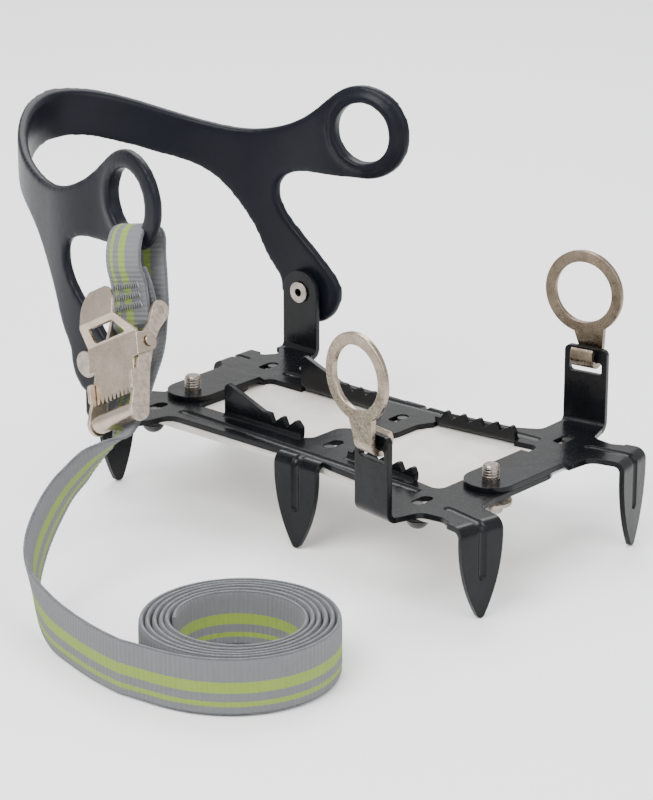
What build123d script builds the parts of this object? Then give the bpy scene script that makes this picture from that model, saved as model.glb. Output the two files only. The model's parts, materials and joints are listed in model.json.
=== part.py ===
"""Six-point universal crampon: two sliding steel half frames, heel strap, toe rings, webbing and cam buckle.

Millimetres. +X points to the toe, +Y to the crampon's left side, +Z up. The origin lies on the symmetry
plane, level with the spike tips, at the middle of the frame. The right half is on the -Y side.
"""
import os
from math import atan2, cos, degrees, hypot, pi, radians, sin, tan

from build123d import *

# ---- driving dimensions -------------------------------------------------------------------------------
SHEET = 2.0            # steel sheet of frame and rings
DECK_Z = 34.0          # top of the half frames above the spike tips
BEND_IN = 2.0          # inner bend radius of the frame sheet
BEND_OUT = BEND_IN + SHEET
DECK_LOW = DECK_Z - SHEET

BOLT_Y = -12.0         # both clamp bolts, at the narrowest width
BOLT_X = {"rear": -75.0, "front": 67.0}
BOLT_R = 3.0           # M6
TONGUE_HALF = 9.6      # half width of the sliding cross arms
TONGUE_END = -21.5     # rounded end of the left half's tongues
RISER_Y = {"rear": 17.0, "front": 20.0}    # where the left half's tongues step up
RISER_RUN = 2.6
WIDTH_TRAVEL = 9.0     # how far the left half slides out

HUB_SLOTS = [(-75.4, 30.6), (0.0, 18.2), (59.2, 39.8)]   # clip slots, mirrored in the other half
HUB_SLOT_LENGTH = 9.0
HUB_SLOT_HALF = 2.3

REAR_POST_X = -79.5
REAR_POST_WIDTH = 17.0
REAR_POST_BEND_Y = 51.0
RIVET_Z = 57.5
FRONT_POST_X = 54.5
FRONT_POST_BEND_Y = 56.5
FRONT_POST_TURN = 9.0  # degrees, front edge outward
FRONT_POST_WIDTH = 17.0
POST_TOP_Z = 63.0
POST_BAR = 5.0         # height of the bar above the ring slot
POST_SLOT = 4.6        # height of the ring slot

RING_IN = 11.25
RING_OUT = 15.5
RING_LEAN = 10.0       # degrees, towards the heel
RING_CURL_IN = 3.0     # inner radius of the curl round the post's bar
RING_NECK_HALF = 4.4
RING_HEIGHT = 22.0     # ring centre above the curl's centre

PLATE_LOW = 28.6
PLATE_TOP = DECK_LOW - 0.05

STRAP_WALL = 4.0       # elastomer heel strap
EYE_X = -55.0
EYE_Z = 123.5
EYE_IN = 11.6
EYE_OUT = 18.2
EYE_COLLAR = 1.6       # how far the eye's collar stands out of the wall
HEEL_SPLIT = 0.1       # half of the gap between the heel strap's two CAD halves

WEB_WIDTH = 19.0
LOOP_HALF = 5.0          # half the width of the bunched webbing in the eye
WEB_THICK = 1.7


# ---- small helpers ------------------------------------------------------------------------------------


def slab(points, low, high, radius=0.0):
    """A flat plate with the outline's corners rounded by one radius or a list of radii."""
    if radius:
        line = FilletPolyline(*points, radius=radius, close=True)
    else:
        line = Polyline(*points, close=True)
    return Pos(0, 0, low) * extrude(make_face(line), high - low)


def rod(start, end, radius):
    """A round bar from one point to another."""
    axis = Vector(*end) - Vector(*start)
    return extrude(Plane(origin=start, z_dir=axis) * Circle(radius), axis.length)


def capsule(start, end, radius):
    """A round bar with ball ends."""
    ends = Pos(*start) * Sphere(radius) + Pos(*end) * Sphere(radius)
    return rod(start, end, radius) + ends


def mirrored(shape):
    return mirror(shape, about=Plane.XZ)


def tab_profile(upward, end_z, overlap):
    """The edge view of a bent tab: x runs outward from the bend's start, y is height."""
    sign = 1 if upward else -1
    near = DECK_Z if upward else DECK_LOW
    far = DECK_LOW if upward else DECK_Z
    middle = near + sign * BEND_IN
    slope = cos(radians(45))
    inner = ThreePointArc(
        (0, near), (BEND_IN * slope, middle - sign * BEND_IN * slope), (BEND_IN, middle))
    outer = ThreePointArc(
        (BEND_OUT, middle), (BEND_OUT * slope, middle - sign * BEND_OUT * slope), (0, far))
    return make_face([
        Line((-overlap, near), (0, near)), inner, Line((BEND_IN, middle), (BEND_IN, end_z)),
        Line((BEND_IN, end_z), (BEND_OUT, end_z)), Line((BEND_OUT, end_z), (BEND_OUT, middle)),
        outer, Line((0, far), (-overlap, far)), Line((-overlap, far), (-overlap, near))])


def bent_tab(x, y, heading, width, outline, upward=False, end_z=0.0, overlap=4.0):
    """A tab bent out of the deck at (x, y), facing heading degrees, cut to an outline of (across, z)."""
    facing = Vector(cos(radians(heading)), sin(radians(heading)), 0)
    across = Vector(-facing.Y, facing.X, 0)
    edge_plane = Plane(origin=(x, y, 0), x_dir=facing, z_dir=-across)
    front_plane = Plane(origin=(x, y, 0), x_dir=across, z_dir=facing)
    sheet = extrude(edge_plane * tab_profile(upward, end_z, overlap), width / 2, both=True)
    return sheet & extrude(front_plane * make_face(outline), 30, both=True)


def bead_cut(x, y, heading, start, end_z, radius=2.6, depth=0.8):
    """The tool that presses a groove over a downward bend and along the spike's face."""
    lift = radius - depth
    facing = Vector(cos(radians(heading)), sin(radians(heading)), 0)
    plane = Plane(origin=(x, y, 0), x_dir=facing, z_dir=(facing.Y, -facing.X, 0))
    reach = BEND_OUT + lift
    middle = DECK_Z - BEND_OUT
    slope = cos(radians(45))
    run = [
        Line((-start, DECK_Z + lift), (0, DECK_Z + lift)),
        ThreePointArc((0, DECK_Z + lift), (reach * slope, middle + reach * slope), (reach, middle)),
        Line((reach, middle), (reach, end_z))]
    path = plane * Wire(Curve() + run)
    tube = sweep(Plane(origin=path @ 0, z_dir=path % 0) * Circle(radius), path=path)
    return tube + Pos(*(path @ 0)) * Sphere(radius) + Pos(*(path @ 1)) * Sphere(radius)


# ---- half frames --------------------------------------------------------------------------------------
REAR_SPIKE = (-93.0, 31.6, 180.0)
MID_SPIKE = (-0.5, 34.2, 90.0)
FRONT_SPIKE = (84.5, 42.5, 11.0)


def spike_outline(half, tip, shoulder=29.5):
    """A leaf-shaped spike of (across, z), full width at the bend."""
    waist = shoulder * 0.5
    return [
        Line((-tip, 0.6), (tip, 0.6)) if tip > 2 else ThreePointArc((-tip, 0.8), (0, 0), (tip, 0.8)),
        ThreePointArc((tip, 0.8 if tip <= 2 else 0.6), (half * 0.80, waist), (half, shoulder)),
        Line((half, shoulder), (half, 40)), Line((half, 40), (-half, 40)),
        Line((-half, 40), (-half, shoulder)),
        ThreePointArc((-half, shoulder), (-half * 0.80, waist), (-tip, 0.8 if tip <= 2 else 0.6))]


def post_outline(half, top, radius):
    """An upright post of (across, z) with rounded top corners."""
    if radius >= half:
        arc = ThreePointArc((half, top - half), (0, top), (-half, top - half))
        return [Line((-half, 25), (half, 25)), Line((half, 25), (half, top - half)), arc,
                Line((-half, top - half), (-half, 25))]
    points = [(-half, 20), (half, 20), (half, top), (-half, top)]
    return FilletPolyline(*points, radius=radius, close=True)


def saw_outline(crests, first, pitch, crest_z, valley_z, start, stop):
    """An outline with rounded saw teeth: start holds the points ahead of the first crest."""
    points = [*start]
    for tooth in range(crests):
        crest = first + tooth * pitch
        points += [(crest - 0.55, crest_z), (crest + 0.55, crest_z)]
        if tooth < crests - 1:
            points += [(crest + 0.32 * pitch, valley_z)]
    points += [(stop, crest_z - 2.0), (stop, 24)]
    return Polyline(*points, close=True)


def deck_outline():
    """The flat plan of the left half between its two arms, with one corner radius for each point."""
    turn = radians(FRONT_POST_TURN)
    half = FRONT_POST_WIDTH / 2
    post_rear = (FRONT_POST_X - half * cos(turn), FRONT_POST_BEND_Y - half * sin(turn))
    post_front = (FRONT_POST_X + half * cos(turn), FRONT_POST_BEND_Y + half * sin(turn))
    rear_half = REAR_POST_WIDTH / 2
    spike_x, spike_y, spike_turn = FRONT_SPIKE
    reach = 9.1
    toe_out = (spike_x - reach * sin(radians(spike_turn)), spike_y + reach * cos(radians(spike_turn)))
    toe_in = (spike_x + reach * sin(radians(spike_turn)), spike_y - reach * cos(radians(spike_turn)))
    corners = [
        ((-93.0, 22.4), 1.5), ((-93.0, 40.8), 0.8), ((-86.5, 38.6), 2.5), ((-82.4, 44.0), 2.5),
        ((REAR_POST_X - rear_half, REAR_POST_BEND_Y - 0.6), 0.8),
        ((REAR_POST_X - rear_half, REAR_POST_BEND_Y + 0.4), 0.2),
        ((REAR_POST_X + rear_half, REAR_POST_BEND_Y + 0.4), 0.2),
        ((REAR_POST_X + rear_half, REAR_POST_BEND_Y - 0.8), 0.8),
        ((-66.8, 43.6), 4.0), ((-65.0, 34.6), 4.5), ((-15.0, 34.6), 3.0),
        ((-10.4, 34.4), 0.6), ((9.4, 34.4), 0.6), ((14.0, 35.3), 3.0), ((38.0, 38.4), 5.0),
        ((46.5, 43.4), 4.0), (post_rear, 0.3), (post_front, 0.3),
        ((66.0, 48.6), 4.0), ((74.5, 47.4), 4.0), (toe_out, 0.8), (toe_in, 1.5),
        ((77.6, 31.4), 4.5), ((BOLT_X["front"] + TONGUE_HALF, RISER_Y["front"] + 1.6), 3.0),
        ((BOLT_X["front"] + TONGUE_HALF, RISER_Y["front"] + 0.2), 0.3),
        ((BOLT_X["front"] - TONGUE_HALF, RISER_Y["front"] + 0.2), 0.3),
        ((BOLT_X["front"] - TONGUE_HALF, 28.6), 3.5), ((46.5, 27.0), 2.0), ((12.5, 23.2), 4.0),
        ((9.8, 17.0), 4.0), ((9.8, 1.6), 5.5), ((-9.6, 1.6), 5.5), ((-9.6, 20.0), 3.5),
        ((BOLT_X["rear"] + TONGUE_HALF + 0.2, 20.0), 2.6),
        ((BOLT_X["rear"] + TONGUE_HALF, RISER_Y["rear"] + 0.2), 0.3),
        ((BOLT_X["rear"] - TONGUE_HALF, RISER_Y["rear"] + 0.2), 0.3)]
    return [point for point, _ in corners], [radius for _, radius in corners]


def arm_slab(side, end_y, low, root_y):
    """One cross arm from its root to a round end."""
    x = BOLT_X[side]
    half = TONGUE_HALF
    sign = 1 if end_y > root_y else -1
    shoulder = end_y - sign * half
    face = make_face([
        Line((x - half, root_y), (x - half, shoulder)),
        ThreePointArc((x - half, shoulder), (x, end_y), (x + half, shoulder)),
        Line((x + half, shoulder), (x + half, root_y)), Line((x + half, root_y), (x - half, root_y))])
    return Pos(0, 0, low) * extrude(face, SHEET)


def riser(side):
    """The step that lifts a tongue of the left half over the right half's arm."""
    x = BOLT_X[side]
    near = RISER_Y[side]
    run = RISER_RUN
    profile = Polyline(
        (near + 1.0, DECK_LOW), (near, DECK_LOW), (near - run, DECK_Z), (near - run - 1.2, DECK_Z),
        (near - run - 1.2, DECK_Z + SHEET), (near - run, DECK_Z + SHEET), (near + 0.3, DECK_Z),
        (near + 1.0, DECK_Z), close=True)
    face = Plane(origin=(x, 0, 0), x_dir=(0, 1, 0), z_dir=(1, 0, 0)) * make_face(profile)
    return extrude(face, TONGUE_HALF, both=True)


def hub_slot(x, y):
    return Pos(x, y, DECK_LOW - 1) * extrude(
        SlotOverall(HUB_SLOT_LENGTH, 2 * HUB_SLOT_HALF, rotation=90), SHEET + 2)


def saw_flange(x, y, heading, width, outline):
    """A toothed wall bent up from a rail's inner edge. Its outline is given along the rail."""
    return bent_tab(x, y, heading, width, outline, upward=True, end_z=50.0, overlap=1.0)


def half_body():
    """What the two halves share, drawn on the +Y side: deck, spikes, posts, saw flanges and beads."""
    points, radii = deck_outline()
    body = slab(points, DECK_LOW, DECK_Z, radii)
    rear_wall = (-49.4, -11.9)
    front_wall = (12.6, 46.6)
    body -= Pos(sum(rear_wall) / 2, 21.5, DECK_Z) * Box(rear_wall[1] - rear_wall[0], 5, 10)
    front_turn = degrees(atan2(27.0 - 23.2, 46.5 - 12.5))
    front_mid = (sum(front_wall) / 2, 25.0 + BEND_OUT)
    body -= Pos(front_mid[0], 25.0 + 1.2, DECK_Z) * Rot(0, 0, front_turn) * Box(34.0, 5.6, 10)
    rear_saw = saw_outline(
        3, 27.6 - 30.7 + 6.1, 6.6, 40.1, 36.9,
        [(-18.75, 24), (-18.75, 45.2), (-17.6, 46.6), (-16.4, 46.4), (0.4, 40.1)], 18.75)
    body += saw_flange(sum(rear_wall) / 2, 24.0, 270, 37.5, rear_saw)
    front_saw = saw_outline(5, -12.2, 6.9, 39.2, 36.4, [(-17.0, 24), (-17.0, 36.4), (-14.6, 36.4)], 17.0)
    body += saw_flange(front_mid[0], front_mid[1], 270 + front_turn, 34.0, front_saw)
    for (x, y, heading), half, tip in ((REAR_SPIKE, 9.1, 1.9), (MID_SPIKE, 9.9, 1.6), (FRONT_SPIKE, 9.1, 1.5)):
        body += bent_tab(x, y, heading, 2 * half, spike_outline(half, tip))
    rear = post_outline(REAR_POST_WIDTH / 2, RIVET_Z + REAR_POST_WIDTH / 2, REAR_POST_WIDTH / 2)
    body += bent_tab(REAR_POST_X, REAR_POST_BEND_Y, 90, REAR_POST_WIDTH, rear, True, 80.0, 2.0)
    front = post_outline(FRONT_POST_WIDTH / 2, POST_TOP_Z, 2.0)
    body += bent_tab(
        FRONT_POST_X, FRONT_POST_BEND_Y, 90 + FRONT_POST_TURN, FRONT_POST_WIDTH, front, True, 80.0, 2.0)
    slot_z = POST_TOP_Z - POST_BAR - POST_SLOT / 2
    slot = RectangleRounded(13.0, POST_SLOT, 1.2)
    body -= front_post_plane(slot_z) * extrude(slot, 12, both=True)
    body -= rod((REAR_POST_X, 40, RIVET_Z), (REAR_POST_X, 70, RIVET_Z), 2.55)
    for x, y in HUB_SLOTS:
        body -= hub_slot(x, y)
    groove = 3.2
    lift = 2.3
    body -= capsule((-63.5, 28.6, DECK_Z + lift), (51.0, 34.0, DECK_Z + lift), groove)
    for (x, y, heading), start in ((REAR_SPIKE, 5.0), (MID_SPIKE, 0.6), (FRONT_SPIKE, 14.0)):
        body -= bead_cut(x, y, heading, start, 15.5)
    return body


def front_post_plane(z):
    """A plane in the left front post's mid sheet: x across the post, y up, z outward."""
    turn = radians(FRONT_POST_TURN)
    out = BEND_IN + SHEET / 2
    centre = (FRONT_POST_X - out * sin(turn), FRONT_POST_BEND_Y + out * cos(turn), z)
    return Plane(origin=centre, x_dir=(-cos(turn), -sin(turn), 0), z_dir=(-sin(turn), cos(turn), 0))


def left_half_frame():
    body = half_body()
    for side, x in BOLT_X.items():
        body += riser(side)
        body += arm_slab(side, TONGUE_END, DECK_Z, RISER_Y[side] - RISER_RUN)
        body -= rod((x, BOLT_Y, DECK_LOW), (x, BOLT_Y, DECK_Z + 10), BOLT_R)
    return body


def right_half_frame():
    body = half_body()
    for side, x in BOLT_X.items():
        end_y = RISER_RUN + 0.4 - RISER_Y[side]
        body += arm_slab(side, end_y, DECK_LOW, RISER_Y[side] + 1.0)
        travel = WIDTH_TRAVEL + 2 * (BOLT_R + 0.5)
        middle = -BOLT_Y - WIDTH_TRAVEL / 2
        body -= Pos(x, middle, DECK_LOW - 1) * extrude(
            SlotOverall(travel, 2 * (BOLT_R + 0.3), rotation=90), SHEET + 2)
    return mirrored(body)


# ---- plate, bolts, washers ----------------------------------------------------------------------------
WASHER_R = 7.5
WASHER_THICK = 1.5
BOLT_HEAD_R = 4.3
BOLT_HEAD = 3.0
BOLT_TOP = 41.4
CLIP_R = 2.0
BOLT_FIT = 0.05        # radial gap between a threaded bolt's body and its tapped hole in the model


def anti_balling_plate():
    """A moulded sheet under both half frames, with slots for the bolts and holes for its clips."""
    corner = [(-83.5, 34.2), (8.0, 33.6), (40.0, 37.0), (52.0, 45.0), (65.5, 45.0), (70.5, 38.0)]
    points = corner + [(x, -y) for x, y in reversed(corner)]
    plate = slab(points, PLATE_LOW, PLATE_TOP, 3.0)
    plate = fillet(plate.faces().sort_by(Axis.Z)[0].edges(), 1.2)
    for x in BOLT_X.values():
        reach = WIDTH_TRAVEL / 2 + 2 * (BOLT_R + 0.5)
        plate -= Pos(x, BOLT_Y + WIDTH_TRAVEL / 4, PLATE_LOW - 1) * extrude(
            SlotOverall(reach, 2 * (BOLT_R + 0.4), rotation=90), 6)
    for x, y in clip_places():
        plate -= rod((x, y, PLATE_LOW - 1), (x, y, PLATE_TOP + 1), CLIP_R + 0.02)
    return plate


def clip_places():
    """Each clip sits at the outer end of its hub slot at the narrowest width."""
    outer = HUB_SLOT_LENGTH / 2 - CLIP_R - 0.2
    return [(x, side * (y + outer)) for x, y in HUB_SLOTS for side in (-1, 1)]


def plate_clip(x, y):
    """A push clip: stem up through the plate into the hub slot, domed head below."""
    stem = rod((x, y, PLATE_LOW), (x, y, DECK_Z - 0.4), CLIP_R)
    collar = rod((x, y, PLATE_LOW - 0.6), (x, y, PLATE_LOW), 3.6)
    dome = Pos(x, y, PLATE_LOW + 0.2) * Sphere(4.3) & Pos(x, y, PLATE_LOW - 2.6) * Box(9, 9, 4)
    return stem + collar + dome


def plate_clips():
    return Compound(children=[plate_clip(x, y) for x, y in clip_places()])


def clamp_bolt(x):
    """An M6 bolt with a low socket head, entered from below and screwed through the tongue."""
    shank_low = PLATE_LOW - WASHER_THICK - 0.05
    shank = rod((x, BOLT_Y, shank_low - BOLT_HEAD), (x, BOLT_Y, BOLT_TOP), BOLT_R - BOLT_FIT)
    shank = chamfer(shank.faces().sort_by(Axis.Z)[-1].edges(), 0.6)
    head = rod((x, BOLT_Y, shank_low - BOLT_HEAD), (x, BOLT_Y, shank_low), BOLT_HEAD_R)
    head = fillet(head.faces().sort_by(Axis.Z)[0].edges(), 0.5)
    socket = Pos(x, BOLT_Y, shank_low - BOLT_HEAD) * extrude(RegularPolygon(2.3, 6), 2.0)
    return head + shank - socket


def clamp_washer(x):
    low = PLATE_LOW - WASHER_THICK - 0.02
    disc = rod((x, BOLT_Y, low), (x, BOLT_Y, low + WASHER_THICK), WASHER_R)
    disc = fillet(disc.edges(), 0.3)
    return disc - rod((x, BOLT_Y, low - 1), (x, BOLT_Y, low + 3), BOLT_R + 0.15)


# ---- toe rings ----------------------------------------------------------------------------------------
def left_toe_ring():
    """A flat ring whose neck curls under and behind the bar at the top of the front post."""
    bar_z = POST_TOP_Z - POST_BAR / 2
    post = front_post_plane(bar_z)
    middle = RING_CURL_IN + SHEET / 2
    lean = radians(RING_LEAN)
    centre = (RING_HEIGHT * sin(lean), RING_HEIGHT * cos(lean))
    disc = Pos(*centre) * Circle(RING_OUT)
    neck_top = RING_HEIGHT - RING_OUT + 2.5
    neck = make_face(Polyline(
        (-RING_NECK_HALF, 0), (RING_NECK_HALF, 0),
        (RING_NECK_HALF + 2.0 + neck_top * sin(lean), neck_top),
        (-RING_NECK_HALF - 2.0 + neck_top * sin(lean), neck_top), close=True))
    flat = post * Pos(0, 0, RING_CURL_IN) * extrude(neck + disc - Pos(*centre) * Circle(RING_IN), SHEET)
    flat = soften(flat, 0.45)
    last = radians(-215)
    outer = RING_CURL_IN + SHEET
    edge = Plane(origin=post.origin, x_dir=post.z_dir, z_dir=-post.x_dir)
    curl = make_face([
        Line((RING_CURL_IN, 0), (outer, 0)),
        ThreePointArc((outer, 0), (outer * cos(last / 2), outer * sin(last / 2)),
                      (outer * cos(last), outer * sin(last))),
        Line((outer * cos(last), outer * sin(last)), (RING_CURL_IN * cos(last), RING_CURL_IN * sin(last))),
        ThreePointArc((RING_CURL_IN * cos(last), RING_CURL_IN * sin(last)),
                      (RING_CURL_IN * cos(last / 2), RING_CURL_IN * sin(last / 2)), (RING_CURL_IN, 0))])
    return flat + extrude(edge * curl, RING_NECK_HALF, both=True)


def soften(shape, radius):
    """Round the sharp long edges of a stamped piece where that is possible."""
    edges = [e for e in shape.edges() if e.length > 4 * radius and e.geom_type == GeomType.CIRCLE]
    return fillet(edges, radius)


# ---- heel strap ---------------------------------------------------------------------------------------
WALL_PLAN = [(-36.0, 66.9), (-55.0, 62.7), (-68.0, 59.9), (-80.0, 58.5), (-91.0, 57.3), (-104.0, 53.2),
             (-119.0, 47.0), (-136.0, 37.0), (-151.5, 20.5)]
WALL_REAR_X = -158.5
EYE_TURN = 12.4        # degrees, the eye's wall flares outward towards the toe
EYE_Y = 62.7
LUG_R = 13.2
LUG_X = -78.2


def wall_band():
    """The strap's wall in plan, carried round the heel as one curve, with its real thickness."""
    points = WALL_PLAN + [(WALL_REAR_X, 0)] + [(x, -y) for x, y in reversed(WALL_PLAN)]
    middle = Spline(*points)
    sides = []
    for sign in (-1, 1):
        side = []
        for step in range(25):
            at = step / 24
            point = middle @ at
            along = middle % at
            side.append((point.X - sign * along.Y * STRAP_WALL / 2, point.Y + sign * along.X * STRAP_WALL / 2))
        sides.append(Spline(*side))
    ends = [Line(sides[0] @ 0, sides[1] @ 0), Line(sides[0] @ 1, sides[1] @ 1)]
    return Pos(0, 0, 35) * extrude(make_face([*sides, *ends]), 120)


def strap_side():
    """The strap seen from the side: band, arm with its lug, and the eye."""
    rim = (EYE_X - EYE_OUT * sin(radians(30)), EYE_Z + EYE_OUT * cos(radians(30)))
    top = Spline(
        (-170, 139.5), (-160, 135.0), (-140, 125.8), (-121, 120.0), (-104, 118.6), (-89, 122.2), (-75, 130.6), rim,
        tangents=[(1, -0.6), (cos(radians(30)), sin(radians(30)))])
    crotch = Spline(
        (EYE_X + 1, EYE_Z - EYE_OUT), (-63, 105.0), (-76, 104.6), (-86, 103.4), (-92.2, 99.2), (-93.2, 93.0),
        (-90.0, 86.2), (-81, 77.4), (-72, 69.4), (LUG_X + LUG_R, 59.5),
        tangents=[(-1, 0), (0.2, -1)])
    lug = ThreePointArc((LUG_X + LUG_R, 59.5), (LUG_X, RIVET_Z - LUG_R), (LUG_X - LUG_R, 58.5))
    back = Spline(
        (LUG_X - LUG_R, 58.5), (-96.0, 66.0), (-101.5, 77.5), (-108.0, 88.0), (-116.5, 97.5), (-124.0, 102.2),
        (-138, 107.0), (-158, 116.4), (-170, 121.6), tangents=[(-0.25, 1), (-1, 0.5)])
    outline = make_face([
        top, Line(rim, (EYE_X, EYE_Z)), Line((EYE_X, EYE_Z), (EYE_X + 1, EYE_Z - EYE_OUT)), crotch, lug, back,
        Line((-170, 121.6), (-170, 139.5))])
    return outline + Pos(EYE_X, EYE_Z) * Circle(EYE_OUT)


def heel_strap():
    wall = wall_band()
    side = Plane.XZ * strap_side()
    strap = wall & extrude(side, 80, both=True)
    for sign in (-1, 1):
        turn = radians(EYE_TURN)
        out = Vector(-sin(turn), sign * cos(turn), 0)
        centre = Vector(EYE_X, sign * EYE_Y, EYE_Z)
        low = centre - out * (STRAP_WALL / 2 + EYE_COLLAR)
        high = centre + out * (STRAP_WALL / 2 + 0.6)
        strap += rod(low, high, EYE_IN + 3.4)
        strap -= rod(centre - out * 12, centre + out * 12, EYE_IN)
        strap -= rod((REAR_POST_X, sign * 50, RIVET_Z), (REAR_POST_X, sign * 70, RIVET_Z), 3.3)
    return strap


def half_strap(strap, side):
    keep = Pos(-80, side * (60 + HEEL_SPLIT), 90) * Box(200, 120, 200)
    return strap & keep


def heel_rivet(side):
    """A tubular rivet: flat head inside the post, barrel through the lug, rolled rim outside."""
    x, z = REAR_POST_X, RIVET_Z
    inner = REAR_POST_BEND_Y + BEND_IN - 1.0
    outer = 62.6
    barrel = rod((x, side * inner, z), (x, side * outer, z), 2.5)
    head = rod((x, side * inner, z), (x, side * (inner + 0.95), z), 4.2)
    rim = rod((x, side * (outer - 1.0), z), (x, side * outer, z), 5.0)
    body = head + barrel + rim
    body = fillet([e for e in body.edges().filter_by(GeomType.CIRCLE) if e.radius > 3], 0.25)
    return body - rod((x, side * (inner - 1), z), (x, side * (outer - 0.6), z), 1.6)


def rivet_washer(side):
    """A thin spacer between the post and the strap's lug."""
    low = REAR_POST_BEND_Y + BEND_OUT + 0.05
    ring = rod((REAR_POST_X, side * low, RIVET_Z), (REAR_POST_X, side * (low + 0.6), RIVET_Z), 5.2)
    return ring - rod((REAR_POST_X, side * 50, RIVET_Z), (REAR_POST_X, side * 70, RIVET_Z), 2.6)


def lug_bush(side):
    """The metal sleeve moulded into the lug, which turns on the rivet."""
    low, high = 56.2, 61.2
    ring = rod((REAR_POST_X, side * low, RIVET_Z), (REAR_POST_X, side * high, RIVET_Z), 3.3)
    return ring - rod((REAR_POST_X, side * 50, RIVET_Z), (REAR_POST_X, side * 70, RIVET_Z), 2.55)


# ---- cam buckle ---------------------------------------------------------------------------------------
# Its own frame: origin at the roller's centre, x along the roller, y up the buckle, z out of its lid.
BUCKLE = Plane(origin=(-32.2, -93.8, 56.8), x_dir=(0.882, -0.004, 0.471), z_dir=(-0.168, -0.936, 0.310))
ROLLER_R = 3.3
PLATE_IN = 11.0
PLATE_OUT = 12.4
SIDE_POINTS = [(0, 0, 3.9), (15, -3.2, 2.7), (24.6, -5.4, 3.0), (31, -9.6, 2.4), (36.85, -13, 3.6)]
PIVOT_Y, PIVOT_Z = 24.6, -5.4
BAR_Y, BAR_Z = 36.85, -13.0
LID = 1.0              # sheet of the lever
LID_HALF = 10.7


def buckle_side(sign):
    """A cast side plate seen as a chain of rounded links in the buckle's y, z plane."""
    outline = None
    for (y0, z0, r0), (y1, z1, r1) in zip(SIDE_POINTS, SIDE_POINTS[1:]):
        first = Pos(y0, z0) * CenterArc((0, 0), r0, 0, 360)
        second = Pos(y1, z1) * CenterArc((0, 0), r1, 0, 360)
        link = make_hull([first, second])
        outline = link if outline is None else outline + link
    plane = Plane(origin=(0, 0, 0), x_dir=(0, 1, 0), z_dir=(1, 0, 0))
    low = PLATE_IN if sign > 0 else -PLATE_OUT
    plate = Pos(low, 0, 0) * extrude(plane * outline, PLATE_OUT - PLATE_IN)
    ear = Pos(sign * 11.7, 11.0, 0.9) * Box(1.4, 7.0, 3.4)
    plate += fillet(ear.edges().filter_by(Axis.X), 1.2)
    for y, z, radius in ((PIVOT_Y, PIVOT_Z, 1.25), (BAR_Y, BAR_Z, 1.6), (0, 0, 1.6)):
        plate -= rod((-20, y, z), (20, y, z), radius)
    return plate


def buckle_bar(y, z, radius):
    """A bar between the two side plates, with turned-down ends riveted through them."""
    body = rod((-PLATE_IN + 0.05, y, z), (PLATE_IN - 0.05, y, z), radius)
    return body + rod((-PLATE_OUT, y, z), (PLATE_OUT, y, z), 1.55)


def pivot_pin():
    pin = rod((-14.6, PIVOT_Y, PIVOT_Z), (14.6, PIVOT_Y, PIVOT_Z), 1.2)
    for sign in (-1, 1):
        pin += rod((sign * 14.0, PIVOT_Y, PIVOT_Z), (sign * 14.6, PIVOT_Y, PIVOT_Z), 2.0)
    return pin


def buckle_lever():
    """The toothed lid with its flared window, thumb tab and two pivot flanges."""
    lean = radians(45)
    plane = Plane(origin=(0, 0, 0), x_dir=(0, 0, 1), z_dir=(-1, 0, 0))
    path = [(-LID, 7.0), (0, 7.0), (0, 28.0), (6.4, 34.6), (4.6, 45.8), (3.6, 45.6), (5.3, 35.0), (-LID, 28.5)]
    strip = extrude(plane * make_face(Polyline(*path, close=True)), 13.6, both=True)
    front = FilletPolyline(
        (-LID_HALF, 6), (LID_HALF, 6), (LID_HALF, 19.0), (13.6, 19.0), (13.6, 27.6), (10.2, 33.8), (9.0, 34.6),
        (9.0, 46.5), (-9.0, 46.5), (-9.0, 34.6), (-10.2, 33.8), (-13.6, 27.6), (-13.6, 19.0), (-LID_HALF, 19.0),
        radius=[0.2, 0.2, 0.6, 0.6, 1.0, 0.5, 0.3, 8.0, 8.0, 0.3, 0.5, 1.0, 0.6, 0.6], close=True)
    lid = strip & extrude(make_face(front), 12, both=True)
    window = FilletPolyline(
        (-8.6, 28.6), (8.6, 28.6), (6.6, 32.9), (-6.6, 32.9), radius=0.7, close=True)
    lid -= extrude(make_face(window), 12, both=True)
    for tooth in range(9):
        x = -8.8 + tooth * 2.2
        notch = make_face(Polyline((x - 0.85, 6.5), (x + 0.85, 6.5), (x, 9.4), close=True))
        lid -= extrude(notch, 4, both=True)
    for sign in (-1, 1):
        side = Plane(origin=(sign * 13.1, 0, 0), x_dir=(0, 1, 0), z_dir=(1, 0, 0))
        flap = make_hull([
            CenterArc((PIVOT_Y, PIVOT_Z), 3.4, 0, 360), Line((19.2, -0.1), (27.4, -0.1))])
        lid += extrude(side * flap, 0.5, both=True)
    return lid - rod((-20, PIVOT_Y, PIVOT_Z), (20, PIVOT_Y, PIVOT_Z), 1.25)


def buckle_spring():
    """The torsion spring round the pivot pin, which presses the lid's teeth towards the roller."""
    start = (-4.5, PIVOT_Y, PIVOT_Z)
    path = Helix(pitch=1.2, height=9.0, radius=1.95, center=start, direction=(1, 0, 0))
    return sweep(Plane(origin=path @ 0, z_dir=path % 0) * Circle(0.42), path=path)


def at_buckle(shape):
    return BUCKLE.location * shape


# ---- webbing ------------------------------------------------------------------------------------------
COIL_CENTRE = (56.6, -129.2)
COIL_OUT = 34.2
COIL_IN = 21.0
TAIL_R = 3.2
TAIL_ROUTE = [(-31.0, -90.5, 50.0), (-34.6, -97.5, 46.4), (-36.4, -106.0, 41.8), (-36.6, -116.0, 36.0),
              (-34.2, -126.5, 29.6), (-30.2, -136.0, 23.0), (-24.0, -144.2, 17.0), (-14.5, -150.9, 12.4),
              (-2.0, -156.8, 10.0), (12.5, -161.6, 9.5), (27.5, -165.2, 9.4), (45.0, -166.8, 9.5),
              (60.0, -163.6, 9.5)]


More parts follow.
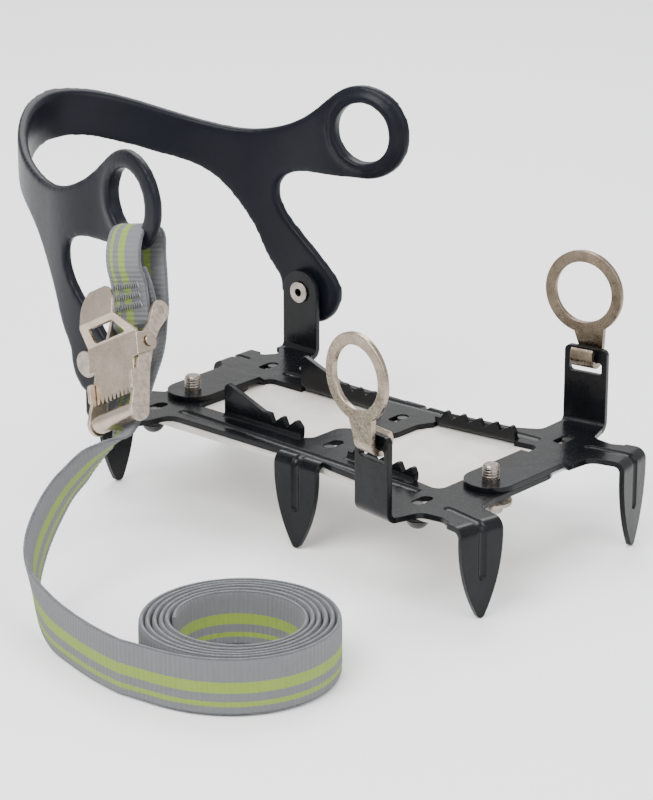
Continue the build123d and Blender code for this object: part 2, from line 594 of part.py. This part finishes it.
def arc_radii(route):
    """For each corner, 0.45 of the shorter run over the tangent of half the turn."""
    radii = []
    for before, here, after in zip(route, route[1:], route[2:]):
        first = Vector(*here) - Vector(*before)
        second = Vector(*after) - Vector(*here)
        turn = radians(first.get_angle(second))
        radii.append(0.45 * min(first.length, second.length) / tan(turn / 2))
    return radii


def strap_tail():
    """The free tail's stand-in: a bar of the webbing's mass along its middle."""
    radii = arc_radii(TAIL_ROUTE)
    path = FilletPolyline(*TAIL_ROUTE, radius=radii)
    tube = sweep(Plane(origin=path @ 0, z_dir=path % 0) * Circle(TAIL_R), path=path)
    return tube


def strap_coil(tail):
    x, y = COIL_CENTRE
    ring = Circle(COIL_OUT) - Circle(COIL_IN)
    return Pos(x, y, 0) * extrude(ring, WEB_WIDTH) - tail


def folded_web(plane, points, half):
    """Webbing that runs edge-on through the points of the plane, reaching half to each side of it."""
    shape = None
    for start, end in zip(points, points[1:]):
        ends = [CenterArc(start, WEB_THICK / 2, 0, 360), CenterArc(end, WEB_THICK / 2, 0, 360)]
        piece = extrude(plane * make_hull(ends), half, both=True)
        shape = piece if shape is None else shape + piece
    return shape


def strap_loop():
    """The sewn loop from the top bar through the right eye, and on down behind the roller."""
    eye = Vector(EYE_X, -EYE_Y, EYE_Z)
    inward = Vector(cos(radians(EYE_TURN)), -sin(radians(EYE_TURN)), 0)
    bar = BUCKLE.from_local_coords(Vector(0, BAR_Y, BAR_Z))
    down = inward * (bar - eye).dot(inward) + Vector(0, 0, (bar - eye).Z)
    rim = BUCKLE.to_local_coords(eye + down.normalized() * (EYE_IN + EYE_OUT) / 2)
    reach = hypot(rim.X, rim.Y - BAR_Y)
    across = (rim.X / reach, (rim.Y - BAR_Y) / reach)
    skew = Plane(origin=(0, BAR_Y, 0), x_dir=(*across, 0), z_dir=(across[1], -across[0], 0))
    straight = Plane(origin=(0, 0, 0), x_dir=(0, 1, 0), z_dir=(1, 0, 0))
    outer, inner = rim.Z + 6.0, rim.Z - 6.0
    over = [(0.0, BAR_Z + 3.0), (reach - 5.0, outer), (reach + 2.8, outer - 0.4), (reach + 5.6, rim.Z + 2.4),
            (reach + 5.6, rim.Z - 2.4), (reach + 2.8, inner + 0.4), (reach - 5.0, inner), (0.0, BAR_Z - 4.0)]
    under = [(BAR_Y, BAR_Z - 4.0), (17.0, -12.2), (5.0, -6.4)]
    return folded_web(skew, over, LOOP_HALF) + folded_web(straight, under, WEB_WIDTH / 2)


strap = heel_strap()
tail = strap_tail()
parts = {
    "right_half_frame": right_half_frame(),
    "left_half_frame": left_half_frame(),
    "anti_balling_plate": anti_balling_plate(),
    "plate_clips": plate_clips(),
    "rear_clamp_bolt": clamp_bolt(BOLT_X["rear"]),
    "front_clamp_bolt": clamp_bolt(BOLT_X["front"]),
    "rear_washer": clamp_washer(BOLT_X["rear"]),
    "front_washer": clamp_washer(BOLT_X["front"]),
    "left_toe_ring": left_toe_ring(),
    "right_toe_ring": mirrored(left_toe_ring()),
    "heel_strap_right": half_strap(strap, -1),
    "heel_strap_left": half_strap(strap, 1),
    "right_heel_rivet": heel_rivet(-1),
    "left_heel_rivet": heel_rivet(1),
    "right_rivet_washer": rivet_washer(-1),
    "left_rivet_washer": rivet_washer(1),
    "right_lug_bush": lug_bush(-1),
    "left_lug_bush": lug_bush(1),
    "buckle_right_side": at_buckle(buckle_side(1)),
    "buckle_left_side": at_buckle(buckle_side(-1)),
    "buckle_top_bar": at_buckle(buckle_bar(BAR_Y, BAR_Z, 1.8)),
    "buckle_roller": at_buckle(buckle_bar(0, 0, ROLLER_R)),
    "buckle_lever": at_buckle(buckle_lever()),
    "buckle_pivot_pin": at_buckle(pivot_pin()),
    "buckle_spring": at_buckle(buckle_spring()),
    "strap_loop": at_buckle(strap_loop()),
    "strap_tail": tail,
    "strap_coil": strap_coil(tail),
}

os.makedirs("parts", exist_ok=True)
for name, solid in parts.items():
    export_step(solid, f"parts/{name}.step")
    print(name, round(solid.volume), len(solid.solids()))
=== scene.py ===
import json
import math

import bpy
from mathutils import Matrix, Vector


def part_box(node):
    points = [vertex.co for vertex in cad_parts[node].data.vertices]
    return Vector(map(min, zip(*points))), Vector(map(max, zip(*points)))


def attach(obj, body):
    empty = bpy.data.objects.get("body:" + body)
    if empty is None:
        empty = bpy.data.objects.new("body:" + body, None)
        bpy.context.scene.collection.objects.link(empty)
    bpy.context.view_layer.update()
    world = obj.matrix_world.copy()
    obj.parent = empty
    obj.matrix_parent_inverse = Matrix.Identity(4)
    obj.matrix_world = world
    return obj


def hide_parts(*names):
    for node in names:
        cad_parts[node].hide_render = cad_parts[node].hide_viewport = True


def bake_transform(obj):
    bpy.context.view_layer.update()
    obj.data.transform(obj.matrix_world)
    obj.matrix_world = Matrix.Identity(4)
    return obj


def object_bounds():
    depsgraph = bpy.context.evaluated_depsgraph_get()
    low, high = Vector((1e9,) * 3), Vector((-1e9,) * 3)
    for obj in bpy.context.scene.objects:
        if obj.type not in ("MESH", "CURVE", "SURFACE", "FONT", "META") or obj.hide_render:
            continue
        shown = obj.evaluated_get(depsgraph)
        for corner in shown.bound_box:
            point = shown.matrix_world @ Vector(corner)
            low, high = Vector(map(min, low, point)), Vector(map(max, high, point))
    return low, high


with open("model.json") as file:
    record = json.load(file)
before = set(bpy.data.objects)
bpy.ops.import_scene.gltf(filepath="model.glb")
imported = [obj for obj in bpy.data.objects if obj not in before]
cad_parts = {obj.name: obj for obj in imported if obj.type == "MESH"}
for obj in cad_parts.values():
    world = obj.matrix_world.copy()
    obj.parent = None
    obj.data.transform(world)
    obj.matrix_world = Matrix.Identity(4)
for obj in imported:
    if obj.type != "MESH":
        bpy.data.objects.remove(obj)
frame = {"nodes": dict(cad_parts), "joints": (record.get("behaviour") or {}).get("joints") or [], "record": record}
cad_box = [list(corner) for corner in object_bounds()]
nodes = frame["nodes"]
joints = {joint["name"]: joint for joint in frame["joints"]}
mounts = {mount["name"]: mount for mount in frame["record"]["mounts"]}
MM = 0.001

WEB_HALF = 9.5 * MM
WEB_THICK = 1.7 * MM
RIB_PITCH = 1.75 * MM
COIL_PITCH = 2.15 * MM
COIL_TURNS = 5.9
COIL_START = math.radians(-98.0)
COIL_RUN_IN = 3.4 * MM              # how far outside the coil the tail meets it
FLOOR_GAP = 0.0002                  # the band's lower edge stands this far above the floor

STRAP_SEAM = 0.0006                 # the halves' end faces lie within this of the middle plane
STRAP_VOXEL = 0.0006
STRAP_SMOOTHING = 40
RIM_DEPTH = 3.3 * MM                # from the eye's bore to the middle of its rim
BAR_Y, BAR_Z = 36.85 * MM, -13.0 * MM    # the top bar from the roller, in the buckle's own frame

STUD_THREAD_R = 2.93 * MM
STUD_PITCH = 1.0 * MM

CAMERA_AZIMUTH, CAMERA_ELEVATION = 41.284, 19.506
CAMERA_PLACE = (0.680577, -0.796886, 0.416995)
CAMERA_LENS = 138.8


# ---------------------------------------------------------------- materials
def new_material(name, colour, metallic, roughness):
    """A material with its principled shader and the object's own coordinates."""
    material = bpy.data.materials.new(name)
    material.use_nodes = True
    tree = material.node_tree
    shader = tree.nodes["Principled BSDF"]
    shader.inputs["Base Color"].default_value = (*colour, 1.0)
    shader.inputs["Metallic"].default_value = metallic
    shader.inputs["Roughness"].default_value = roughness
    coordinates = tree.nodes.new("ShaderNodeTexCoord")
    return material, tree, shader, coordinates


def noise(tree, coordinates, scale, detail=4.0, stretch=(1.0, 1.0, 1.0)):
    """A noise texture in object space, stretched along the axes."""
    mapping = tree.nodes.new("ShaderNodeMapping")
    mapping.inputs["Scale"].default_value = stretch
    tree.links.new(coordinates.outputs["Object"], mapping.inputs["Vector"])
    texture = tree.nodes.new("ShaderNodeTexNoise")
    texture.inputs["Scale"].default_value = scale
    texture.inputs["Detail"].default_value = detail
    tree.links.new(mapping.outputs["Vector"], texture.inputs["Vector"])
    return texture.outputs["Fac"]


def spread(tree, value, low, high):
    """value, mapped from 0.3..0.7 onto low..high."""
    node = tree.nodes.new("ShaderNodeMapRange")
    node.inputs["From Min"].default_value = 0.3
    node.inputs["From Max"].default_value = 0.7
    node.inputs["To Min"].default_value = low
    node.inputs["To Max"].default_value = high
    tree.links.new(value, node.inputs["Value"])
    return node.outputs["Result"]


def tint(tree, value, dark, light):
    """A colour between dark and light by value."""
    ramp = tree.nodes.new("ShaderNodeValToRGB")
    ramp.color_ramp.elements[0].position = 0.3
    ramp.color_ramp.elements[1].position = 0.7
    ramp.color_ramp.elements[0].color = (*dark, 1.0)
    ramp.color_ramp.elements[1].color = (*light, 1.0)
    tree.links.new(value, ramp.inputs["Fac"])
    return ramp.outputs["Color"]


def bump(tree, height, distance, strength=1.0, under=None):
    """A bump node's normal, laid over another normal."""
    node = tree.nodes.new("ShaderNodeBump")
    node.inputs["Strength"].default_value = strength
    node.inputs["Distance"].default_value = distance
    tree.links.new(height, node.inputs["Height"])
    if under is not None:
        tree.links.new(under, node.inputs["Normal"])
    return node.outputs["Normal"]


def rounded(tree, radius):
    """The normal with edges softened over radius."""
    node = tree.nodes.new("ShaderNodeBevel")
    node.samples = 4
    node.inputs["Radius"].default_value = radius
    return node.outputs["Normal"]


def surface(name, dark, light, metallic, rough, grain, wave, coat=0.0, stretch=(1.0, 1.0, 1.0), edge=0.0,
            shine=0.5):
    """A finish: colour between dark and light, roughness range, and a grain of (scale, depth) over a wave."""
    material, tree, shader, coordinates = new_material(name, light, metallic, rough[0])
    patches = noise(tree, coordinates, wave[0])
    tree.links.new(tint(tree, patches, dark, light), shader.inputs["Base Color"])
    marks = noise(tree, coordinates, grain[0], 6.0, stretch)
    tree.links.new(spread(tree, marks, *rough), shader.inputs["Roughness"])
    soft = rounded(tree, edge) if edge else None
    first = bump(tree, patches, wave[1], 1.0, soft)
    tree.links.new(bump(tree, marks, grain[1], 1.0, first), shader.inputs["Normal"])
    shader.inputs["Specular IOR Level"].default_value = shine
    shader.inputs["Coat Weight"].default_value = coat
    shader.inputs["Coat Roughness"].default_value = 0.12
    return material


coated = surface("coated_steel", (0.0025, 0.0027, 0.0032), (0.005, 0.0055, 0.007), 0.0, (0.16, 0.28),
                 (1400.0, 0.00002), (120.0, 0.0002), 0.0, edge=0.0006, shine=0.17)
elastomer = surface("strap_elastomer", (0.0028, 0.0036, 0.0065), (0.0050, 0.0062, 0.0105), 0.0, (0.30, 0.42),
                    (2200.0, 0.00002), (60.0, 0.0002), shine=0.15)
nickel = surface("nickel", (0.36, 0.295, 0.235), (0.47, 0.395, 0.32), 1.0, (0.16, 0.30),
                 (900.0, 0.00004), (160.0, 0.0002), stretch=(1.0, 1.0, 6.0), edge=0.0004)
nickel_grain = surface("nickel_grainy", (0.34, 0.285, 0.23), (0.54, 0.46, 0.385), 1.0, (0.26, 0.46),
                       (1500.0, 0.00012), (500.0, 0.0002), edge=0.0004)
ring_near = surface("nickel_ring", (0.24, 0.195, 0.15), (0.36, 0.30, 0.24), 1.0, (0.20, 0.34),
                    (1200.0, 0.00005), (200.0, 0.0003), edge=0.0004)
# painted shade: the far toe ring gets a darker copy of the near ring's nickel
ring_far_painted_shade = surface("nickel_ring_painted_shade", (0.14, 0.11, 0.08), (0.24, 0.19, 0.145), 1.0, (0.22, 0.38),
                   (1200.0, 0.00005), (200.0, 0.0003), edge=0.0004)
plated = surface("plated_steel", (0.22, 0.19, 0.165), (0.36, 0.32, 0.285), 1.0, (0.20, 0.36),
                 (1500.0, 0.00005), (300.0, 0.0001), edge=0.0003)
plate = surface("snow_plate", (0.56, 0.54, 0.49), (0.66, 0.63, 0.58), 0.0, (0.42, 0.58),
                (1800.0, 0.00003), (90.0, 0.0002), edge=0.0004)
clip = surface("clip_plastic", (0.012, 0.012, 0.012), (0.022, 0.022, 0.022), 0.0, (0.25, 0.4),
               (1500.0, 0.00002), (200.0, 0.0001), edge=0.0003)
thread = surface("stitch_thread", (0.16, 0.165, 0.17), (0.26, 0.265, 0.27), 0.0, (0.6, 0.8),
                 (6000.0, 0.00008), (900.0, 0.0001))


def webbing_material():
    """Grey woven webbing with a wide and a narrow lime stripe, counted from its edge A at u = 0."""
    material, tree, shader, coordinates = new_material("webbing", (0.2, 0.21, 0.22), 0.0, 0.8)
    grey, lime, deep = (0.16, 0.168, 0.18), (0.27, 0.39, 0.02), (0.085, 0.09, 0.10)
    split = tree.nodes.new("ShaderNodeSeparateXYZ")
    tree.links.new(coordinates.outputs["UV"], split.inputs["Vector"])
    jitter = tree.nodes.new("ShaderNodeMath")
    jitter.operation = "MULTIPLY_ADD"
    tree.links.new(noise(tree, coordinates, 900.0), jitter.inputs[0])
    jitter.inputs[1].default_value = 0.022
    tree.links.new(split.outputs["X"], jitter.inputs[2])
    ramp = tree.nodes.new("ShaderNodeValToRGB")
    ramp.color_ramp.interpolation = "CONSTANT"
    stops = [(0.0, deep), (0.035, grey), (0.42, lime), (0.62, grey), (0.77, lime), (0.86, grey), (0.98, deep)]
    elements = ramp.color_ramp.elements
    elements[0].position, elements[1].position = stops[0][0], stops[-1][0]
    elements[0].color, elements[1].color = (*stops[0][1], 1.0), (*stops[-1][1], 1.0)
    for position, colour in stops[1:-1]:
        elements.new(position).color = (*colour, 1.0)
    tree.links.new(jitter.outputs["Value"], ramp.inputs["Fac"])
    ribs = tree.nodes.new("ShaderNodeTexWave")
    ribs.wave_type = "BANDS"
    ribs.bands_direction = "X"
    ribs.inputs["Scale"].default_value = 1.0
    scaled = tree.nodes.new("ShaderNodeMapping")
    scaled.inputs["Rotation"].default_value = (0.0, 0.0, math.radians(12.0))
    scaled.inputs["Scale"].default_value = (32.0, 1.0 / (RIB_PITCH * 3.18), 1.0)
    tree.links.new(coordinates.outputs["UV"], scaled.inputs["Vector"])
    tree.links.new(scaled.outputs["Vector"], ribs.inputs["Vector"])
    shade = tree.nodes.new("ShaderNodeMix")
    shade.data_type = "RGBA"
    shade.blend_type = "MULTIPLY"
    shade.inputs["Factor"].default_value = 0.45
    tree.links.new(ramp.outputs["Color"], shade.inputs["A"])
    tree.links.new(tint(tree, ribs.outputs["Fac"], (0.45, 0.45, 0.45), (1.0, 1.0, 1.0)), shade.inputs["B"])
    tree.links.new(shade.outputs["Result"], shader.inputs["Base Color"])
    fibres = noise(tree, coordinates, 5200.0, 3.0)
    tree.links.new(spread(tree, fibres, 0.65, 0.9), shader.inputs["Roughness"])
    woven = bump(tree, ribs.outputs["Fac"], 0.00012)
    tree.links.new(bump(tree, fibres, 0.00012, 1.0, woven), shader.inputs["Normal"])
    shader.inputs["Sheen Weight"].default_value = 0.25
    return material


web = webbing_material()

finishes = {
    "right_half_frame": coated, "left_half_frame": coated, "anti_balling_plate": plate, "plate_clips": clip,
    "heel_strap_right": elastomer, "heel_strap_left": elastomer,
    # the left toe ring takes the darker nickel copy, which is painted shade
    "right_toe_ring": ring_near, "left_toe_ring": ring_far_painted_shade,
    "buckle_right_side": nickel_grain, "buckle_left_side": nickel_grain, "buckle_top_bar": nickel,
    "buckle_roller": nickel, "buckle_lever": nickel, "buckle_pivot_pin": nickel, "buckle_spring": nickel,
}


def finish_node(piece, material):
    piece.data.materials.clear()
    piece.data.materials.append(material)


for name, piece in nodes.items():
    finish_node(piece, finishes.get(name, web if name.startswith("strap_") else plated))


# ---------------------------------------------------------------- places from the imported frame
def middle(name):
    low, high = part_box(name)
    return (low + high) / 2


roller = middle("buckle_roller")
top_bar = middle("buckle_top_bar")
coil_low, coil_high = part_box("strap_coil")
coil = (coil_low + coil_high) / 2
lever = joints["lever_hinge"]
buckle_x = -Vector(lever["axis"]).normalized()
to_bar = top_bar - roller
to_bar -= buckle_x * to_bar.dot(buckle_x)
turned = buckle_x.cross(to_bar)
buckle_y = ((to_bar * BAR_Y - turned * BAR_Z) / (BAR_Y ** 2 + BAR_Z ** 2)).normalized()
buckle_z = buckle_x.cross(buckle_y)


def buckle_point(x, y, z):
    """A point in the buckle's own frame, in millimetres from its roller."""
    return roller + (buckle_x * x + buckle_y * y + buckle_z * z) * MM


eye_mount = mounts["left_heel_eye"]
eye = Vector(eye_mount["pos_m"])
eye.y = -eye.y
eye_axis = Vector(eye_mount["axis"])
eye_axis.y = -eye_axis.y
eye_radius = eye_mount["dims"]["r_mm"] * MM
down = top_bar - eye
down -= eye_axis * down.dot(eye_axis)
down.normalize()
rim = eye + down * (eye_radius + RIM_DEPTH)
rim_local = Vector((rim - roller).dot(axis) for axis in (buckle_x, buckle_y, buckle_z)) / MM


# ---------------------------------------------------------------- heel strap
def heel_band():
    """The moulded strap in one piece across the heel, smoothed where its halves meet."""
    copies = []
    for name in ("heel_strap_right", "heel_strap_left"):
        copy = nodes[name].copy()
        copy.data = nodes[name].data.copy()
        copy.parent = None
        for key in list(copy.keys()):
            if key.startswith("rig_"):
                del copy[key]
        for vertex in copy.data.vertices:
            if abs(vertex.co.y) < STRAP_SEAM:
                vertex.co.y = -vertex.co.y * 0.5
        bpy.context.scene.collection.objects.link(copy)
        copies.append(copy)
    band = copies[0]
    with bpy.context.temp_override(active_object=band, object=band, selected_objects=copies,
                                   selected_editable_objects=copies):
        bpy.ops.object.join()
    band.name = "heel_band"
    remesh = band.modifiers.new("Remesh", "REMESH")
    remesh.mode = "VOXEL"
    remesh.voxel_size = STRAP_VOXEL
    remesh.use_smooth_shade = True
    smooth = band.modifiers.new("Smooth", "SMOOTH")
    smooth.factor = 0.5
    smooth.iterations = STRAP_SMOOTHING
    depsgraph = bpy.context.evaluated_depsgraph_get()
    mesh = bpy.data.meshes.new_from_object(band.evaluated_get(depsgraph))
    band.modifiers.clear()
    band.data = mesh
    for polygon in mesh.polygons:
        polygon.use_smooth = True
    finish_node(band, elastomer)
    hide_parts("heel_strap_right", "heel_strap_left")
    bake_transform(band)


heel_band()


# ---------------------------------------------------------------- webbing
def smooth_path(controls, step):
    """Points and width directions on a Catmull-Rom spline through the controls, about step apart."""
    points = []
    padded = [controls[0]] + controls + [controls[-1]]
    for before, start, end, after in zip(padded, padded[1:], padded[2:], padded[3:]):
        count = max(2, int((end[0] - start[0]).length / step))
        for index in range(count):
            t = index / count
            values = []
            for p, q, r, s in zip(before, start, end, after):
                values.append(0.5 * (2 * q + (r - p) * t + (2 * p - 5 * q + 4 * r - s) * t ** 2
                                     + (3 * q - p - 3 * r + s) * t ** 3))
            points.append(tuple(values))
    points.append(controls[-1])
    return points


def even_rows(points, step):
    """The same path with rows exactly step apart, as (point, tangent, width direction, distance)."""
    lengths = [0.0]
    for first, second in zip(points, points[1:]):
        lengths.append(lengths[-1] + (second[0] - first[0]).length)
    rows = []
    index = 0
    count = int(lengths[-1] / step)
    for number in range(count + 1):
        distance = number * step
        while index < len(points) - 2 and lengths[index + 1] < distance:
            index += 1
        run = max(lengths[index + 1] - lengths[index], 1e-9)
        t = min(1.0, (distance - lengths[index]) / run)
        place = points[index][0].lerp(points[index + 1][0], t)
        width = points[index][1].lerp(points[index + 1][1], t)
        rows.append([place, None, width, distance])
    for number, row in enumerate(rows):
        before = rows[max(0, number - 3)][0]
        after = rows[min(len(rows) - 1, number + 3)][0]
        row[1] = (after - before).normalized()
        row[2] = (row[2] - row[1] * row[2].dot(row[1])).normalized()
    return rows


def ribbon(name, rows, half, thickness):
    """A woven band along the rows, ribbed across, with rounded edges."""
    across = [-1.0, -0.97, -0.9, -0.75, -0.5, -0.25, 0.0, 0.25, 0.5, 0.75, 0.9, 0.97, 1.0]
    ring = [(a, 1.0) for a in across] + [(a, -1.0) for a in reversed(across)]
    vertices, faces, uvs = [], [], []
    size = len(ring)
    for place, tangent, width, distance in rows:
        normal = tangent.cross(width)
        rib = 1.0 + 0.15 * math.sin(2 * math.pi * distance / RIB_PITCH)
        for a, side in ring:
            depth = thickness / 2 * rib * (1.0 - 0.55 * abs(a) ** 14)
            vertices.append(place + width * (a * half) + normal * (side * depth))
    for number in range(len(rows) - 1):
        for index in range(size):
            after = (index + 1) % size
            faces.append((number * size + index, number * size + after,
                          (number + 1) * size + after, (number + 1) * size + index))
            here, there = (1 - ring[index][0]) / 2, (1 - ring[after][0]) / 2
            low, high = rows[number][3], rows[number + 1][3]
            uvs += [(here, low), (there, low), (there, high), (here, high)]
    last = (len(rows) - 1) * size
    faces.append(tuple(reversed(range(size))))
    uvs += [((1 - a) / 2, 0.0) for a, side in reversed(ring)]
    faces.append(tuple(range(last, last + size)))
    uvs += [((1 - a) / 2, rows[-1][3]) for a, side in ring]
    mesh = bpy.data.meshes.new(name)
    mesh.from_pydata(vertices, [], faces)
    layer = mesh.uv_layers.new(name="UVMap")
    for loop, uv in zip(layer.data, uvs):
        loop.uv = uv
    mesh.update()
    for polygon in mesh.polygons:
        polygon.use_smooth = True
    thing = bpy.data.objects.new(name, mesh)
    bpy.context.scene.collection.objects.link(thing)
    thing.data.materials.append(web)
    return thing


reach = math.hypot(rim_local.x, rim_local.y - BAR_Y / MM)
lean = (rim_local.x / reach, (rim_local.y - BAR_Y / MM) / reach)
skew_width = (buckle_x * lean[1] - buckle_y * lean[0]).normalized()


def on_loop(distance, z, share=1.0):
    """A point of the loop, distance above the top bar towards the eye's rim, and the band's width there."""
    y = BAR_Y / MM + distance * lean[1]
    return buckle_point(distance * lean[0], y, z), buckle_x.lerp(skew_width, share)


bar_z = BAR_Z / MM
front_z, back_z = rim_local.z + 5.6, rim_local.z - 5.6
controls = [
    on_loop(reach - 9.0, front_z - 3.1), on_loop(reach * 0.45, (bar_z + front_z) / 2 - 1.2, 0.6),
    on_loop(4.0, bar_z + 0.2, 0.2), on_loop(0.8, bar_z - 2.6, 0.0), on_loop(-2.6, bar_z - 1.0, 0.0),
    on_loop(-2.2, bar_z + 2.0, 0.0), on_loop(1.0, bar_z + 3.0, 0.1),
    on_loop(reach * 0.45, (bar_z + front_z) / 2 + 1.2, 0.6), on_loop(reach - 9.0, front_z - 0.9),
    on_loop(reach - 3.0, front_z), on_loop(reach + 2.6, front_z - 0.8),
    on_loop(reach + 5.4, rim_local.z + 2.4),
    on_loop(reach + 5.4, rim_local.z - 2.4), on_loop(reach + 2.6, back_z + 0.8), on_loop(reach - 3.0, back_z),
    on_loop(reach * 0.4, (bar_z * 1.4 + back_z) / 2.2 - 2.0, 0.5), on_loop(0.0, bar_z - 5.2, 0.0),
    (buckle_point(0, 24.0, -15.4), buckle_x.copy()), (buckle_point(0, 12.0, -9.8), buckle_x.copy()),
    (buckle_point(0, 3.0, -5.0), buckle_x.copy())]

tail_offsets = [(-0.6, 0.6, -7.4), (-2.6, -5.0, -11.0), (-4.2, -12.2, -15.0), (-4.4, -22.2, -20.8),
                (-2.0, -32.7, -27.2), (2.0, -42.2, -33.8), (8.2, -50.4, -39.8), (17.7, -57.1, -44.4),
                (30.2, -63.0, -46.8), (44.7, -67.8, -47.3), (59.7, -71.4, -47.4), (72.2, -73.0, -47.3)]
mid_width = Vector((0.29, -0.85, 0.43)).normalized()
upright = Vector((0.0, 0.0, 1.0))
for index, offset in enumerate(tail_offsets):
    place = roller + Vector(offset) * MM
    if index < 4:
        width = buckle_x.lerp(mid_width, min(1.0, (index + 0.8) / 2.6))
    else:
        width = mid_width.lerp(upright, min(1.0, (index - 3.4) / 4.5))
    if index > 7:
        place.z = max(place.z, coil_low.z + WEB_HALF + FLOOR_GAP)
    controls.append((place, width))

points = smooth_path(controls, 0.7 * MM)
outer = (coil_high.x - coil_low.x) / 2 - WEB_THICK / 2
count = int(COIL_TURNS * 300)
for index in range(count + 1):
    angle = 2 * math.pi * COIL_TURNS * index / count
    run_in = COIL_RUN_IN * math.exp(-angle / math.radians(24.0))
    radius = outer - COIL_PITCH * angle / (2 * math.pi) + run_in
    radius += 0.25 * MM * math.sin(2.3 * angle) * (angle / (2 * math.pi * COIL_TURNS))
    lift = 0.25 * MM * (1 + math.sin(angle * 0.9))
    place = Vector((coil.x + radius * math.cos(COIL_START + angle),
                    coil.y + radius * math.sin(COIL_START + angle),
                    coil_low.z + WEB_HALF + FLOOR_GAP + lift))
    points.append((place, upright.copy()))

rows = even_rows(points, RIB_PITCH / 6)
webbing = ribbon("webbing", rows, WEB_HALF, WEB_THICK)
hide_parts("strap_loop", "strap_tail", "strap_coil")
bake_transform(webbing)


# ---------------------------------------------------------------- stitching and threads
def line(name, places, radius, material, body):
    """A round thread through the places, riding a body."""
    data = bpy.data.curves.new(name, "CURVE")
    data.dimensions = "3D"
    data.bevel_depth = radius
    data.bevel_resolution = 2
    data.use_fill_caps = True
    spline = data.splines.new("POLY")
    spline.points.add(len(places) - 1)
    for point, place in zip(spline.points, places):
        point.co = (*place, 1.0)
    thing = bpy.data.objects.new(name, data)
    bpy.context.scene.collection.objects.link(thing)
    thing.data.materials.append(material)
    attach(thing, body)
    return thing


def bar_tack(name, distance):
    """A zigzag of thread across the outer leg, distance above the top bar."""
    share = distance / reach
    places = []
    for number in range(25):
        side = -7.6 + 15.2 * number / 24
        up = distance + (0.9 if number % 2 else -0.9)
        z = bar_z + 3.0 + (front_z - bar_z - 3.9) * up / (reach - 9.0) + 1.0
        centre, width = on_loop(up, z, 0.3 + share)
        places.append(centre + width.normalized() * side * MM)
    line(name, places, 0.28 * MM, thread, "heel_right")


for index, share in enumerate((0.22, 0.42, 0.62)):
    bar_tack(f"bar_tack_{index + 1}", (reach - 9.0) * share)


def stud_thread(name, bolt):
    """The helical thread on the end of a stud that stands above the tongue."""
    low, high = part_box(bolt)
    centre = (low + high) / 2
    start = mounts["boot_platform"]["pos_m"][2] + 0.5 * MM
    turns = int((high.z - start - 0.3 * MM) / STUD_PITCH)
    places = []
    for number in range(turns * 28 + 1):
        angle = 2 * math.pi * number / 28
        places.append(Vector((centre.x + STUD_THREAD_R * math.cos(angle),
                              centre.y + STUD_THREAD_R * math.sin(angle),
                              start + STUD_PITCH * number / 28)))
    line(name, places, 0.26 * MM, plated, "left_frame")


for side in ("rear", "front"):
    stud_thread(f"{side}_stud_thread", f"{side}_clamp_bolt")


# ---------------------------------------------------------------- floor, lights and camera
low, high = (Vector(corner) for corner in cad_box)
centre = (low + high) / 2
bpy.ops.mesh.primitive_plane_add(size=6.0, location=(centre.x, centre.y, low.z - 0.0003))
floor = bpy.context.object
floor.name = "floor"
white, tree, shader, coordinates = new_material("floor_white", (0.92, 0.92, 0.92), 0.0, 0.65)
tree.links.new(tint(tree, noise(tree, coordinates, 3.0), (0.91, 0.91, 0.91), (0.93, 0.93, 0.93)),
               shader.inputs["Base Color"])
floor.data.materials.append(white)

world = bpy.data.worlds.new("studio")
bpy.context.scene.world = world
world.use_nodes = True
world.node_tree.nodes["Background"].inputs["Color"].default_value = (1.0, 1.0, 1.0, 1.0)
world.node_tree.nodes["Background"].inputs["Strength"].default_value = 1.2


def lamp(name, azimuth, elevation, distance, size, watts):
    """A square soft light that faces the object's middle."""
    data = bpy.data.lights.new(name, "AREA")
    data.size = size
    data.energy = watts
    thing = bpy.data.objects.new(name, data)
    a, e = math.radians(azimuth), math.radians(elevation)
    away = Vector((math.sin(a) * math.cos(e), -math.cos(a) * math.cos(e), math.sin(e)))
    thing.location = centre + away * distance
    thing.rotation_euler = away.to_track_quat("Z", "Y").to_euler()
    bpy.context.scene.collection.objects.link(thing)


lamp("key", 5.0, 55.0, 1.1, 0.7, 16.0)
lamp("fill", 85.0, 35.0, 1.2, 0.9, 8.0)
lamp("back", 215.0, 50.0, 1.2, 0.8, 12.0)

camera_data = bpy.data.cameras.new("camera")
camera_data.lens = CAMERA_LENS
camera_data.sensor_width = 36.0
camera_data.clip_start = 0.05
camera_data.clip_end = 20.0
camera = bpy.data.objects.new("camera", camera_data)
bpy.context.scene.collection.objects.link(camera)
azimuth, elevation = math.radians(CAMERA_AZIMUTH), math.radians(CAMERA_ELEVATION)
away = Vector((math.sin(azimuth) * math.cos(elevation), -math.cos(azimuth) * math.cos(elevation),
               math.sin(elevation)))
right = Vector((math.cos(azimuth), math.sin(azimuth), 0.0))
up = away.cross(right)
camera.matrix_world = Matrix(((right.x, up.x, away.x, CAMERA_PLACE[0]),
                              (right.y, up.y, away.y, CAMERA_PLACE[1]),
                              (right.z, up.z, away.z, CAMERA_PLACE[2]), (0.0, 0.0, 0.0, 1.0)))
bpy.context.scene.camera = camera
